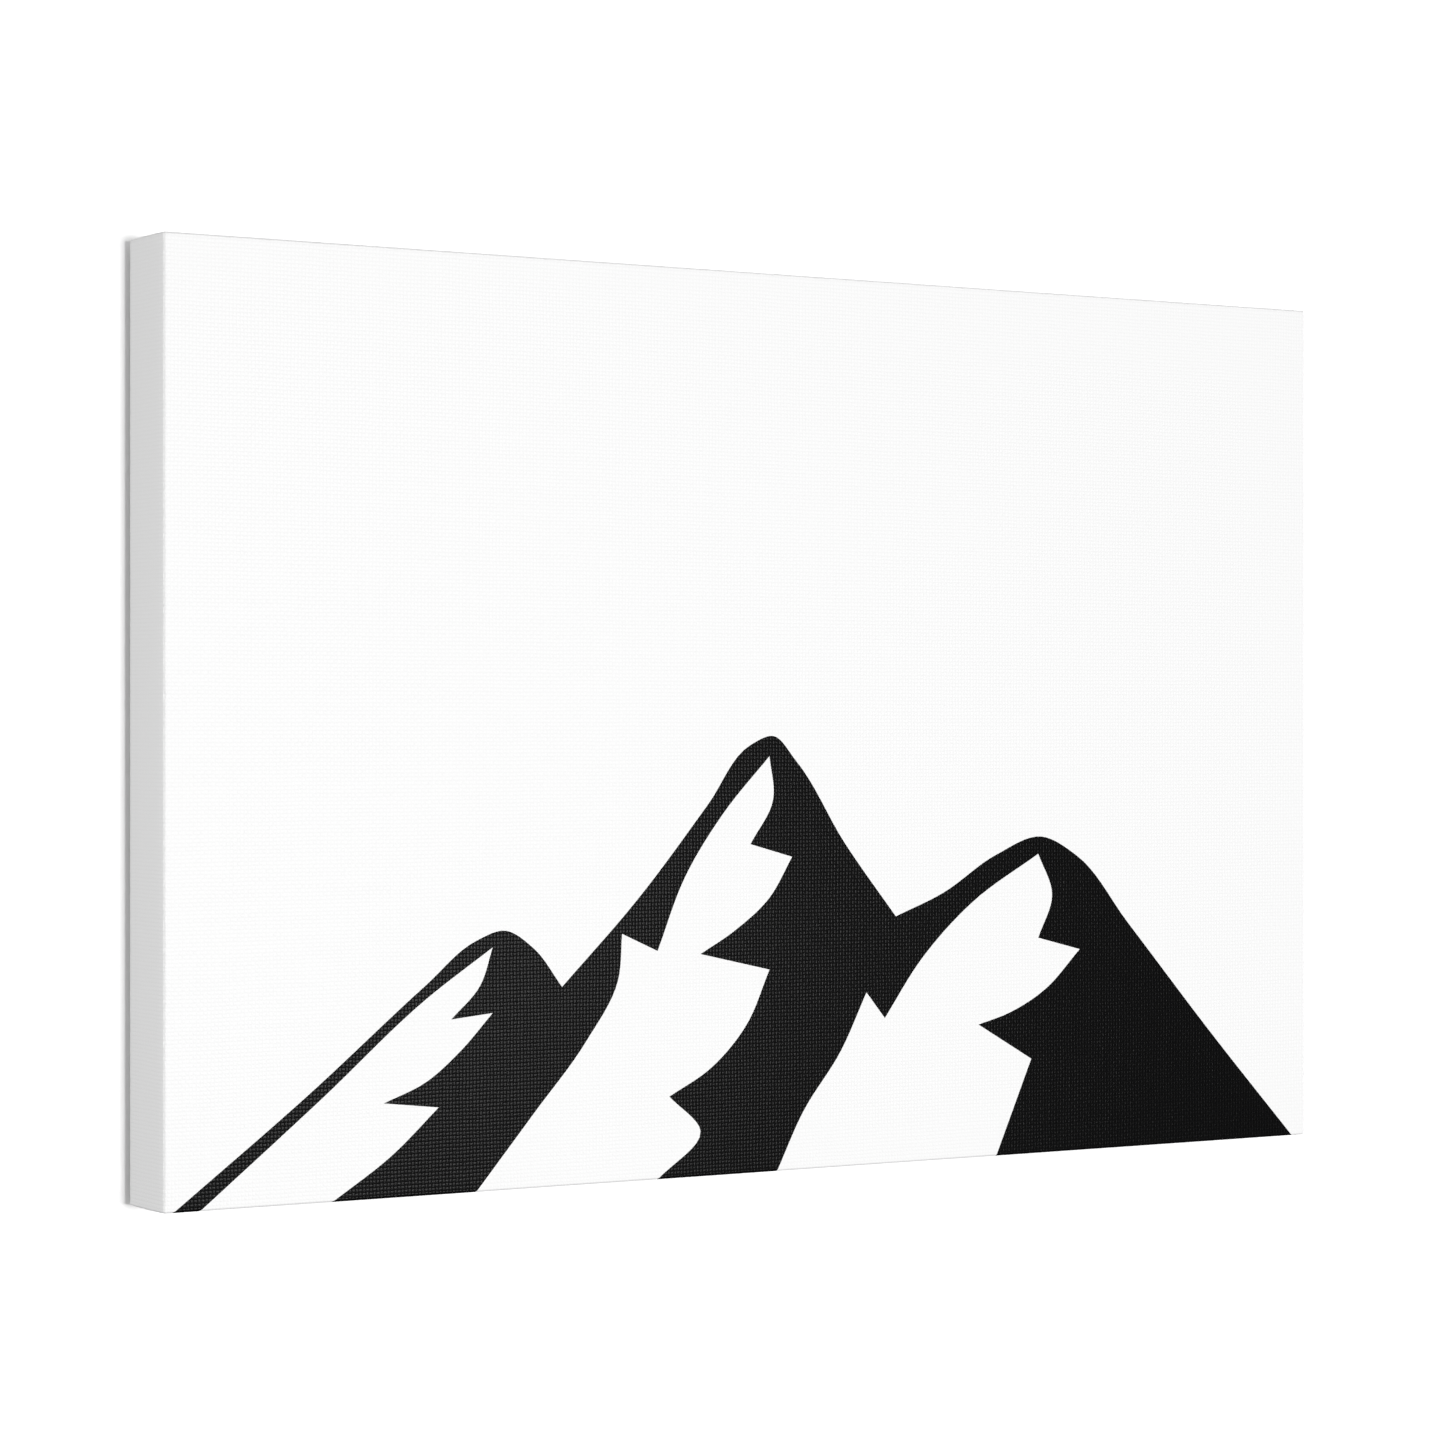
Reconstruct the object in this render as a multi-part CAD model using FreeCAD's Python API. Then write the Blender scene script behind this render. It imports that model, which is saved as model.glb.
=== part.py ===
import FreeCAD, Part
import math
import os

# Stretched canvas: primed cotton cloth pulled over a keyed pine stretcher frame and stapled at the back.
#
# Millimetres, +Z up, the painted face towards -Y. The origin is the middle of the bottom edge, halfway
# through the depth. Four bars of one section meet in mitred corners with two tongues each: at its start a
# bar has its tongue in the front layer and its slot in the back layer, and at its end the other way
# round, so the four bars interlock going round the frame. Two loose wooden keys sit in each corner,
# one in each slot, and are tapped outwards to tighten the cloth.

V = FreeCAD.Vector

# The finished canvas
WIDTH = 300.0
HEIGHT = 200.0
DEPTH = 17.5
CLOTH = 0.4

# Stretcher bar section: a raised lip carries the cloth, and the face behind it slopes away
BAR_WIDTH = 34.0
LIP_WIDTH = 2.5
FACE_SLOPE = 2.4
EDGE_RADIUS = 0.4
EDGE_CHAMFER = 0.6

# Corner joint: two tongue layers between a front and a back cheek
LAYER = 3.5
MITRE_GAP = 0.12
TONGUE_SHORT = 0.3
SLOT_PLAY = 0.15
POCKET_DEPTH = 24.0

# Keys
KEY_THICKNESS = 3.1
KEY_SEATED = 22.0
KEY_PROUD = 18.0
KEY_TIP_WIDTH = 9.0
KEY_TAPER = 0.2
KEY_CORNER = 1.2

# Cloth turned over the back
FLAP_WIDTH = 18.0
FOLD_THICKNESS = 0.8

# Staples
CROWN = 10.0
WIRE_THICKNESS = 0.55
WIRE_WIDTH = 1.2
LEG_LENGTH = 7.0
BEND_RADIUS = 0.5
STAPLE_INSET = 9.0
STAPLE_PITCH = 40.0
CORNER_STAPLE_PLACE = 12.6
CORNER_STAPLE_INSET = 6.0

# Sawtooth hanger and its nails
HANGER_LENGTH = 46.0
HANGER_HEIGHT = 9.0
HANGER_SHEET = 0.8
HANGER_STAND_OFF = 1.8
HANGER_TAB = 9.0
HANGER_RAMP = 2.4
HANGER_INSET = 26.0
TOOTH_PITCH = 2.4
TOOTH_DEPTH = 1.5
TEETH = 9
NAIL_RADIUS = 0.75
NAIL_HEAD_RADIUS = 2.1
NAIL_HEAD_HEIGHT = 0.8
NAIL_LENGTH = 10.0
NAIL_POINT = 1.6

# Stick-on wall bumpers
BUMPER_RADIUS = 5.0
BUMPER_HEIGHT = 2.6
BUMPER_ROUNDING = 1.6
BUMPER_X = 106.0
BUMPER_INSET = 26.0

# Worked out from the sizes above
FRAME_WIDTH = WIDTH - 2 * CLOTH
FRAME_HEIGHT = HEIGHT - 2 * CLOTH
LEFT = -FRAME_WIDTH / 2
RIGHT = FRAME_WIDTH / 2
BOTTOM = CLOTH
TOP = HEIGHT - CLOTH
FRONT = -DEPTH / 2 + CLOTH
BACK = DEPTH / 2 - CLOTH
CHEEK = (BACK - FRONT - FACE_SLOPE - 2 * LAYER) / 2
FRONT_LAYER = FRONT + FACE_SLOPE + CHEEK
BACK_LAYER = FRONT_LAYER + LAYER
BACK_CHEEK = BACK_LAYER + LAYER
SLOT_MOUTH = KEY_TIP_WIDTH + KEY_TAPER * KEY_SEATED + 2 * SLOT_PLAY

# Each bar's own axes: where it starts, which way it runs, which way is inwards, and its length.
# The third axis of every bar is +Y, from the face to the back.
BARS = {
    "top": (V(LEFT, 0, TOP), V(1, 0, 0), V(0, 0, -1), FRAME_WIDTH),
    "right": (V(RIGHT, 0, TOP), V(0, 0, -1), V(-1, 0, 0), FRAME_HEIGHT),
    "bottom": (V(RIGHT, 0, BOTTOM), V(-1, 0, 0), V(0, 0, 1), FRAME_WIDTH),
    "left": (V(LEFT, 0, BOTTOM), V(0, 0, 1), V(1, 0, 0), FRAME_HEIGHT),
}

# The keys in each bar's two slots, at its start and at its end
KEYS = {
    "top": ("key_top_left_upright", "key_top_right_upright"),
    "right": ("key_top_right_level", "key_bottom_right_level"),
    "bottom": ("key_bottom_right_upright", "key_bottom_left_upright"),
    "left": ("key_bottom_left_level", "key_top_left_level"),
}


def on_bar(shape, name):
    """Moves a shape from a bar's own axes (along, inwards, back) to its place in the frame."""
    start, along, inward, _ = BARS[name]
    matrix = FreeCAD.Matrix(
        along.x, inward.x, 0, start.x,
        along.y, inward.y, 1, start.y,
        along.z, inward.z, 0, start.z,
        0, 0, 0, 1,
    )
    shape.Placement = FreeCAD.Placement(matrix).multiply(shape.Placement)
    return shape


def plate(outline, low, high):
    """A closed outline of (along, inwards) points, raised from one depth to another."""
    corners = [V(along, inward, low) for along, inward in outline]
    face = Part.Face(Part.makePolygon(corners + corners[:1]))
    return face.extrude(V(0, 0, high - low))


def rail(profile, length):
    """A closed profile of (inwards, depth) points, run along a bar."""
    corners = [V(0, inward, depth) for inward, depth in profile]
    face = Part.Face(Part.makePolygon(corners + corners[:1]))
    return face.extrude(V(length, 0, 0))


def single(shape):
    """The one solid that a boolean leaves inside its compound."""
    return shape.removeSplitter().Solids[0]


def frame_form(grow):
    """The whole frame's outer form with rounded edges, grown on every side."""
    box = Part.makeBox(
        FRAME_WIDTH + 2 * grow,
        BACK - FRONT + 2 * grow,
        FRAME_HEIGHT + 2 * grow,
        V(LEFT - grow, FRONT - grow, BOTTOM - grow),
    )
    return box.makeFillet(EDGE_RADIUS + grow, box.Edges)


# ---- Stretcher bars ----

def mitred(length):
    """A cheek's outline, cut at 45 degrees at both ends."""
    return [
        (MITRE_GAP, 0),
        (length - MITRE_GAP, 0),
        (length - BAR_WIDTH - MITRE_GAP, BAR_WIDTH),
        (BAR_WIDTH + MITRE_GAP, BAR_WIDTH),
    ]


def slot_wall():
    """A slot's end wall, as (distance from the bar's end, inwards) points from the outer edge.

    The wall clears the crossing tongue, then steps back into the pocket for the key, and the
    pocket widens towards the frame's inside with the key's own taper.
    """
    pocket_end = BAR_WIDTH - POCKET_DEPTH
    return [
        (BAR_WIDTH + SLOT_PLAY, 0),
        (BAR_WIDTH + SLOT_PLAY, pocket_end),
        (BAR_WIDTH + SLOT_MOUTH - KEY_TAPER * POCKET_DEPTH, pocket_end),
        (BAR_WIDTH + SLOT_MOUTH, BAR_WIDTH),
    ]


def front_layer(length):
    """Tongue at the start, slot at the end."""
    tongue = [(TONGUE_SHORT, BAR_WIDTH), (TONGUE_SHORT, 0)]
    return tongue + [(length - distance, inward) for distance, inward in slot_wall()]


def back_layer(length):
    """Slot at the start, tongue at the end."""
    tongue = [(length - TONGUE_SHORT, BAR_WIDTH), (length - TONGUE_SHORT, 0)]
    return tongue + slot_wall()


def face_slope(length):
    """What is planed off the front behind the lip, with the inner front arris."""
    beyond = BAR_WIDTH + 1
    slope = FACE_SLOPE / (BAR_WIDTH - LIP_WIDTH)
    chamfer_start = BAR_WIDTH - EDGE_CHAMFER
    chamfer_depth = FRONT + slope * (chamfer_start - LIP_WIDTH)
    return rail(
        [
            (LIP_WIDTH, FRONT),
            (chamfer_start, chamfer_depth),
            (beyond, chamfer_depth + beyond - chamfer_start),
            (beyond, FRONT - 1),
            (LIP_WIDTH, FRONT - 1),
        ],
        length,
    )


def back_arris(length):
    """The small chamfer along the inner back edge."""
    return rail(
        [
            (BAR_WIDTH - EDGE_CHAMFER, BACK),
            (BAR_WIDTH + 1, BACK - EDGE_CHAMFER - 1),
            (BAR_WIDTH + 1, BACK),
        ],
        length,
    )


def stretcher_bar(name, fixings):
    """One bar, with the holes that its staples and nails have made."""
    length = BARS[name][3]
    layers = [
        plate(mitred(length), FRONT, FRONT_LAYER),
        plate(front_layer(length), FRONT_LAYER, BACK_LAYER),
        plate(back_layer(length), BACK_LAYER, BACK_CHEEK),
        plate(mitred(length), BACK_CHEEK, BACK),
    ]
    blank = layers[0].multiFuse(layers[1:])
    planed = blank.cut([face_slope(length), back_arris(length)])
    bar = on_bar(single(planed), name).common(frame_form(0))
    return single(bar.cut(fixings))


# ---- Corner keys ----

def corner_key(name, at_end):
    """A wedge beside the crossing tongue, its tip in the bar's slot and its head inside the frame."""
    length = BARS[name][3]
    straight = BAR_WIDTH + SLOT_PLAY
    tip = BAR_WIDTH - KEY_SEATED
    head = BAR_WIDTH + KEY_PROUD
    head_width = KEY_TIP_WIDTH + KEY_TAPER * (KEY_SEATED + KEY_PROUD)
    outline = [
        (straight, tip),
        (straight + KEY_TIP_WIDTH, tip),
        (straight + head_width, head),
        (straight, head),
    ]
    layer = BACK_LAYER
    if at_end:
        layer = FRONT_LAYER
        outline = [(length - distance, inward) for distance, inward in outline]
    low = layer + (LAYER - KEY_THICKNESS) / 2
    wedge = plate(outline, low, low + KEY_THICKNESS)
    uprights = [edge for edge in wedge.Edges if abs(edge.tangentAt(edge.FirstParameter).z) > 0.5]
    return on_bar(wedge.makeFillet(KEY_CORNER, uprights).Solids[0], name)


# ---- Staples ----

def staple(place, inset, seat):
    """One wire staple with square-cut legs, its crown lying along the bar on a seat at a given depth."""
    half = CROWN / 2
    crown = Part.makeBox(CROWN, WIRE_WIDTH, WIRE_THICKNESS, V(-half, -WIRE_WIDTH / 2, 0))
    leg_size = (WIRE_THICKNESS, WIRE_WIDTH, LEG_LENGTH)
    near_leg = Part.makeBox(*leg_size, V(-half, -WIRE_WIDTH / 2, -LEG_LENGTH))
    far_leg = Part.makeBox(*leg_size, V(half - WIRE_THICKNESS, -WIRE_WIDTH / 2, -LEG_LENGTH))
    wire = single(crown.multiFuse([near_leg, far_leg]))
    shoulders = [
        edge for edge in wire.Edges
        if edge.CenterOfMass.z > WIRE_THICKNESS * 0.99 and abs(abs(edge.CenterOfMass.x) - half) < 0.01
    ]
    bent = wire.makeFillet(BEND_RADIUS, shoulders).Solids[0]
    bent.translate(V(place, inset, seat))
    return bent


def bar_staples(name, per_bar, with_corners):
    """The staples along one bar, and on the long bars one through the folded cloth at each corner."""
    length = BARS[name][3]
    first = length / 2 - STAPLE_PITCH * (per_bar - 1) / 2
    row = [staple(first + STAPLE_PITCH * step, STAPLE_INSET, DEPTH / 2) for step in range(per_bar)]
    if with_corners:
        seat = DEPTH / 2 + FOLD_THICKNESS
        for place in (CORNER_STAPLE_PLACE, length - CORNER_STAPLE_PLACE):
            row.append(staple(place, CORNER_STAPLE_INSET, seat))
    return Part.makeCompound([on_bar(wire, name) for wire in row])


# ---- Cloth ----

def corner_fold(name, at_end):
    """The folded layers at one end of a long bar, lying on the turned-over cloth."""
    length = BARS[name][3]
    near = EDGE_RADIUS + CLOTH
    outline = [(near, near), (FLAP_WIDTH, near), (FLAP_WIDTH, FLAP_WIDTH)]
    if at_end:
        outline = [(length - along, inward) for along, inward in outline]
    return on_bar(plate(outline, BACK, DEPTH / 2 + FOLD_THICKNESS), name)


def canvas_cloth(staples):
    """The cloth as one shell: the face, four edges and the strip turned over the back."""
    window = Part.makeBox(
        WIDTH - 2 * FLAP_WIDTH,
        DEPTH,
        HEIGHT - 2 * FLAP_WIDTH,
        V(-WIDTH / 2 + FLAP_WIDTH, 0, FLAP_WIDTH),
    )
    shell = frame_form(CLOTH).cut([frame_form(0), window])
    folds = [corner_fold(name, at_end) for name in ("top", "bottom") for at_end in (False, True)]
    return single(shell.multiFuse(folds).cut(staples))


# ---- Hanging hardware ----

def sawtooth_hanger():
    """A stamped strip: flat tabs on the wood, a raised middle, and teeth along the lower edge."""
    half = HANGER_LENGTH / 2
    tab_end = half - HANGER_TAB
    raised_end = tab_end - HANGER_RAMP
    low = BACK
    high = BACK + HANGER_STAND_OFF
    under = [(-half, low), (-tab_end, low), (-raised_end, high), (raised_end, high), (tab_end, low), (half, low)]
    over = [(along, depth + HANGER_SHEET) for along, depth in reversed(under)]
    top_edge = TOP - HANGER_INSET + HANGER_HEIGHT / 2
    corners = [V(along, depth, top_edge) for along, depth in under + over]
    strip = Part.Face(Part.makePolygon(corners + corners[:1])).extrude(V(0, 0, -HANGER_HEIGHT))
    cutters = [tooth_gap(step - (TEETH - 1) / 2, top_edge - HANGER_HEIGHT) for step in range(TEETH)]
    cutters += [nail_hole(side) for side in (-1, 1)]
    return single(strip.cut(cutters))


def tooth_gap(step, low_edge):
    """The notch between two teeth of the hanger."""
    middle = step * TOOTH_PITCH
    corners = [
        V(middle - TOOTH_PITCH / 2, BACK, low_edge),
        V(middle + TOOTH_PITCH / 2, BACK, low_edge),
        V(middle, BACK, low_edge + TOOTH_DEPTH),
    ]
    return Part.Face(Part.makePolygon(corners + corners[:1])).extrude(V(0, 2 * HANGER_STAND_OFF, 0))


def nail_place(side):
    """The point on the wood's back where a nail goes in."""
    return V(side * (HANGER_LENGTH - HANGER_TAB) / 2, BACK, TOP - HANGER_INSET)


def nail_hole(side):
    return Part.makeCylinder(NAIL_RADIUS, HANGER_SHEET, nail_place(side), V(0, 1, 0))


def hanger_nail(side):
    """A round-headed nail turned about its own axis, with its head on the hanger's tab."""
    head_low = HANGER_SHEET
    head_high = HANGER_SHEET + NAIL_HEAD_HEIGHT
    tip = HANGER_SHEET - NAIL_LENGTH
    sag = NAIL_HEAD_HEIGHT / 2
    outline = [
        V(0, tip, 0),
        V(NAIL_RADIUS, tip + NAIL_POINT, 0),
        V(NAIL_RADIUS, head_low, 0),
        V(NAIL_HEAD_RADIUS, head_low, 0),
        V(NAIL_HEAD_RADIUS, head_high - sag, 0),
    ]
    edges = Part.makePolygon(outline).Edges
    crown_angle = math.atan(sag / NAIL_HEAD_RADIUS)
    crown_radius = NAIL_HEAD_RADIUS / math.sin(2 * crown_angle)
    crown_middle = V(
        crown_radius * math.sin(crown_angle),
        head_high - crown_radius * (1 - math.cos(crown_angle)),
        0,
    )
    edges.append(Part.Arc(outline[-1], crown_middle, V(0, head_high, 0)).toShape())
    edges.append(Part.makeLine(V(0, head_high, 0), outline[0]))
    turned = Part.Face(Part.Wire(edges)).revolve(V(0, 0, 0), V(0, 1, 0), 360)
    turned.translate(nail_place(side))
    return turned


def bumper(side):
    """A soft round pad stuck to the bottom bar, domed where it meets the wall."""
    seat = V(side * BUMPER_X, BACK, BOTTOM + BUMPER_INSET)
    pad = Part.makeCylinder(BUMPER_RADIUS, BUMPER_HEIGHT, seat, V(0, 1, 0))
    rim = [edge for edge in pad.Edges if edge.Closed and edge.CenterOfMass.y > BACK + BUMPER_HEIGHT / 2]
    return pad.makeFillet(BUMPER_ROUNDING, rim).Solids[0]


def build():
    """Every node of the part by name."""
    staples = {
        "top": bar_staples("top", 6, True),
        "right": bar_staples("right", 4, False),
        "bottom": bar_staples("bottom", 6, True),
        "left": bar_staples("left", 4, False),
    }
    nails = [hanger_nail(side) for side in (-1, 1)]
    all_staples = [wire for group in staples.values() for wire in group.Solids]
    nodes = {"canvas_cloth": canvas_cloth(all_staples)}
    for name in BARS:
        nodes["stretcher_bar_" + name] = stretcher_bar(name, all_staples + nails)
        nodes["staples_" + name] = staples[name]
        start_key, end_key = KEYS[name]
        nodes[start_key] = corner_key(name, False)
        nodes[end_key] = corner_key(name, True)
    nodes["sawtooth_hanger"] = sawtooth_hanger()
    nodes["hanger_nails"] = Part.makeCompound(nails)
    nodes["bumper_left"] = bumper(-1)
    nodes["bumper_right"] = bumper(1)
    return nodes


os.makedirs("parts", exist_ok=True)
for node, shape in build().items():
    shape.exportStep("parts/" + node + ".step")
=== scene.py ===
import math
import random

import bmesh
import bpy
from bpy.props import FloatProperty, FloatVectorProperty, PointerProperty
from bpy.types import Operator, Panel, PropertyGroup
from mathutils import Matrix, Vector
from mathutils.geometry import delaunay_2d_cdt


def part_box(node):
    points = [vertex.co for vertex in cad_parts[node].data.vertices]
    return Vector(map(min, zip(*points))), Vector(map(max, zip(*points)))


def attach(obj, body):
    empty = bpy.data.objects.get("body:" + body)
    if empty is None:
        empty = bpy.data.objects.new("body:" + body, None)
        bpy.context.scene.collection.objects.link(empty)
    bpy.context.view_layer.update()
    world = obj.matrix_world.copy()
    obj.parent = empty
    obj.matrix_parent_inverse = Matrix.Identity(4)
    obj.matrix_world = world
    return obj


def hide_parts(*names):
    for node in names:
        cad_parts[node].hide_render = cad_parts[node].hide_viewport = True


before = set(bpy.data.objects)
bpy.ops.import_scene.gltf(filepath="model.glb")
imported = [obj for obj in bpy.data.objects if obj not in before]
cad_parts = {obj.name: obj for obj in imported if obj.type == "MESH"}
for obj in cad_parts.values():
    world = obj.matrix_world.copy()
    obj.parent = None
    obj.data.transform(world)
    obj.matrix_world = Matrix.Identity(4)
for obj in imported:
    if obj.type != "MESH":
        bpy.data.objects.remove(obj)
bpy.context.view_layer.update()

bl_info = {
    "name": "Stretched Canvas",
    "version": (1, 0, 0),
    "blender": (4, 5, 0),
    "location": "3D View > Sidebar > Canvas",
    "description": "Dresses a framed canvas in printed cotton, pine, beech, metal and rubber",
    "category": "Object",
}

MM = 0.001
CLOTH_LOW, CLOTH_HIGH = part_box("canvas_cloth")
BAR_LOW, BAR_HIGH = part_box("stretcher_bar_top")
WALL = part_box("bumper_left")[1].y

# The canvas's own faces. The folded corners stand behind its back, so that comes from the bars.
LEFT = CLOTH_LOW.x
RIGHT = CLOTH_HIGH.x
TOP = CLOTH_HIGH.z
FRONT = CLOTH_LOW.y
THICKNESS = BAR_LOW.y - FRONT
BACK = BAR_HIGH.y + THICKNESS
DEPTH = BACK - FRONT

# Mesh steps and the folds' own measures
BEND_STEPS = 4
BULGE_STEPS = 6
EDGE_STEP = 5 * MM
MERGE = 0.002 * MM
SAME_POINT = 1e-7
INSIDE_ONLY = 1
FLAT_COSINE = 0.9999
CUT_WAVES = ((71, 1, 0.6), (233, 2, 0.4))
FOLD_INSET = 2.2 * MM
FOLD_BUILDS_UP = 2.5 * MM
FOLD_NARROWEST = 0.3 * MM
FOLD_TIGHT = 0.55
FOLD_CRISP_EDGE = 0.5 * MM
FOLD_SOFT_END = 2.4 * MM
FOLD_STEPS = 4
FOLD_ROWS = 14
FRAY_RADIUS = 0.1 * MM
FRAY_SHORTEST = 0.7 * MM
FRAY_SPREAD = 2.6 * MM
FRAY_HELD = 0.4 * MM
FRAY_CLEAR = 5 * MM
FRAY_BEND = 0.7
FRAY_CURL = 0.5
FRAY_PARTS = (0.3, 0.6, 0.85, 1.0)
FRAY_TAPER = 0.12
FRAY_LIFT = 1.6
FRAY_ROOT_LIFT = 2.0
FRAY_SEED = 7
WHITE, INK, WHITE_BACK, INK_BACK = range(4)

# Stage
STAGE = 3.0
WALL_GAP = 0.2 * MM
FLAG_GAP = 0.1 * MM
FLAG_INSET = 0.9 * MM
FLAG_WIDTH = 8 * MM
FLOOR = -0.3
WALL_GLOW = 0.14
FLOOR_GLOW = 0.75
AMBIENT = 0.25
KEY_PLACE = (-0.13, -3.0, TOP / 2)
KEY_SIZE = (0.42, 0.42)
KEY_WATTS = 53.6
SHEEN_PLACE = (1.25, -2.727, -0.08)
SHEEN_SIZE = (0.45, 0.5)
SHEEN_WATTS = 22.0
SIDE_PLACE = (-2.5, 1.0, TOP / 2)
SIDE_SIZE = (0.8, 0.8)
SIDE_WATTS = 36.5
BACK_PLACE = (1.2, 1.9, 1.5)
BACK_SIZE = (2.0, 2.0)
BACK_WATTS = 44.0
VIEW_TURN = math.radians(31.8)
VIEW_AIM = -0.0163
VIEW_DISTANCE = 0.887
LENS = 100
FILM_WIDTH = 36
NEAREST_SEEN = 0.01


# ---- Sizes and colours ----

def length(name, description, default):
    return FloatProperty(name=name, description=description, default=default, unit="LENGTH", precision=5)


def colour(name, description, default):
    return FloatVectorProperty(
        name=name, description=description, default=default, subtype="COLOR", size=3, min=0, max=1
    )


class CanvasSizes(PropertyGroup):
    edge_radius: length("Edge radius", "Outer radius of the cloth where it turns over a bar", 0.55 * MM)
    thread_pitch: length("Thread pitch", "Distance from one thread to the next", 0.82 * MM)
    relief: length("Thread relief", "Height of a thread above the gap beside it", 0.035 * MM)
    flap: length("Flap", "Width of the strip turned over the back", 18 * MM)
    flap_wander: length("Flap wander", "How far the hand-cut edge strays from straight", 0.3 * MM)
    bulge: length("Bulge", "How far the cloth stands proud between the arrises of an edge", 0.12 * MM)
    bleed: length("Bleed", "How far the print runs on past the back arris", 6 * MM)
    fold_thickness: length("Fold thickness", "Height of the folded layers at each corner", 0.8 * MM)
    ring_spacing: length("Growth rings", "Distance between growth rings in the pine", 2.4 * MM)


class CanvasColours(PropertyGroup):
    primer: colour("Primer", "White ground under the print", (0.90, 0.90, 0.90))
    ink: colour("Ink", "Black of the printed motif", (0.0007, 0.0007, 0.0008))
    cotton: colour("Cotton", "Unprimed back of the cloth", (0.74, 0.68, 0.58))
    early_wood: colour("Early wood", "Pale part of each ring in the pine", (0.74, 0.55, 0.34))
    late_wood: colour("Late wood", "Dark part of each ring in the pine", (0.56, 0.34, 0.16))
    beech: colour("Beech", "Body colour of the keys", (0.62, 0.42, 0.25))
    beech_fleck: colour("Beech fleck", "Short dark flecks in the keys", (0.36, 0.20, 0.10))
    zinc: colour("Zinc", "Galvanised staple wire", (0.58, 0.59, 0.61))
    yellow_zinc: colour("Yellow zinc", "Passivated hanger and nails", (0.72, 0.58, 0.30))
    rubber: colour("Rubber", "Wall bumpers", (0.022, 0.022, 0.024))
    paper: colour("Background", "Wall and floor", (1.0, 1.0, 1.0))


# ---- Shader sums ----

# The Mix node's factor and two colours among its inputs, and its colour among its outputs
MIX_COLOUR_INPUTS = (0, 6, 7)
MIX_COLOUR_OUTPUT = 2


class Wire:
    """A node's output that is used like a number: each sum on it adds its own Math node."""

    def __init__(self, socket):
        self.socket = socket
        self.tree = socket.id_data

    def math(self, operation, *values):
        inputs = dict(enumerate((self, *values)))
        return add_node(self.tree, "ShaderNodeMath", {"operation": operation}, inputs)

    def __add__(self, other):
        return self.math("ADD", other)

    def __sub__(self, other):
        return self.math("SUBTRACT", other)

    def __rsub__(self, other):
        return self.math("MULTIPLY_ADD", -1.0, other)

    def __mul__(self, other):
        return self.math("MULTIPLY", other)

    def __truediv__(self, other):
        return self.math("DIVIDE", other)

    def __pow__(self, other):
        return self.math("POWER", other)

    __radd__ = __add__
    __rmul__ = __mul__

    def whole(self):
        return self.math("FLOOR")

    def part(self):
        return self.math("FRACT")

    def sine(self):
        return self.math("SINE")

    def size(self):
        return self.math("ABSOLUTE")

    def root(self):
        return self.math("SQRT")

    def rise(self, low, high):
        """0 up to low, 1 from high on, and a smooth rise between them."""
        smooth = {"interpolation_type": "SMOOTHSTEP"}
        return add_node(self.tree, "ShaderNodeMapRange", smooth, {0: self, 1: low, 2: high})


def add_node(tree, kind, settings, values, output=0):
    """Adds any node: its settings first, then the value or link of each socket. Returns one output."""
    made = tree.nodes.new(kind)
    for name, value in settings.items():
        setattr(made, name, value)
    for name, value in values.items():
        if isinstance(value, Wire):
            tree.links.new(value.socket, made.inputs[name])
        else:
            made.inputs[name].default_value = value
    return Wire(made.outputs[output])


def split(vector):
    """The three numbers of a vector."""
    first = add_node(vector.tree, "ShaderNodeSeparateXYZ", {}, {0: vector})
    return [Wire(socket) for socket in first.socket.node.outputs]


def joined(x, y, z=0.0):
    return add_node(x.tree, "ShaderNodeCombineXYZ", {}, {0: x, 1: y, 2: z})


def vector_math(operation, vector, other):
    return add_node(vector.tree, "ShaderNodeVectorMath", {"operation": operation}, {0: vector, 1: other})


def stretched(vector, factors):
    return vector_math("MULTIPLY", vector, factors)


def shifted(vector, by):
    return vector_math("ADD", vector, by)


def mixed(factor, first, second):
    """Blends two colours, each a link or a plain colour."""
    ends = [end if isinstance(end, Wire) else (*end[:3], 1.0) for end in (first, second)]
    inputs = dict(zip(MIX_COLOUR_INPUTS, (factor, *ends)))
    return add_node(factor.tree, "ShaderNodeMix", {"data_type": "RGBA"}, inputs, MIX_COLOUR_OUTPUT)


def noise(vector, scale, detail=3.0):
    inputs = {"Vector": vector, "Scale": scale, "Detail": detail}
    return add_node(vector.tree, "ShaderNodeTexNoise", {}, inputs)


class Finish:
    """A Principled material: fixed values on its own sockets, and links for what varies."""

    def __init__(self, name, fixed):
        self.material = bpy.data.materials.new(name)
        self.material.use_nodes = True
        self.tree = self.material.node_tree
        self.shader = self.tree.nodes["Principled BSDF"]
        for socket, value in fixed.items():
            self.shader.inputs[socket].default_value = value

    def object_place(self):
        return add_node(self.tree, "ShaderNodeTexCoord", {}, {}, "Object")

    def cloth_place(self):
        return add_node(self.tree, "ShaderNodeUVMap", {"uv_map": "cloth"}, {})

    def feed(self, socket, value):
        self.tree.links.new(value.socket, self.shader.inputs[socket])

    def relief(self, height, depth):
        inputs = {"Strength": 1.0, "Distance": depth, "Height": height}
        bump = add_node(self.tree, "ShaderNodeBump", {}, inputs)
        self.feed("Normal", bump)


# ---- Materials ----

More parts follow.
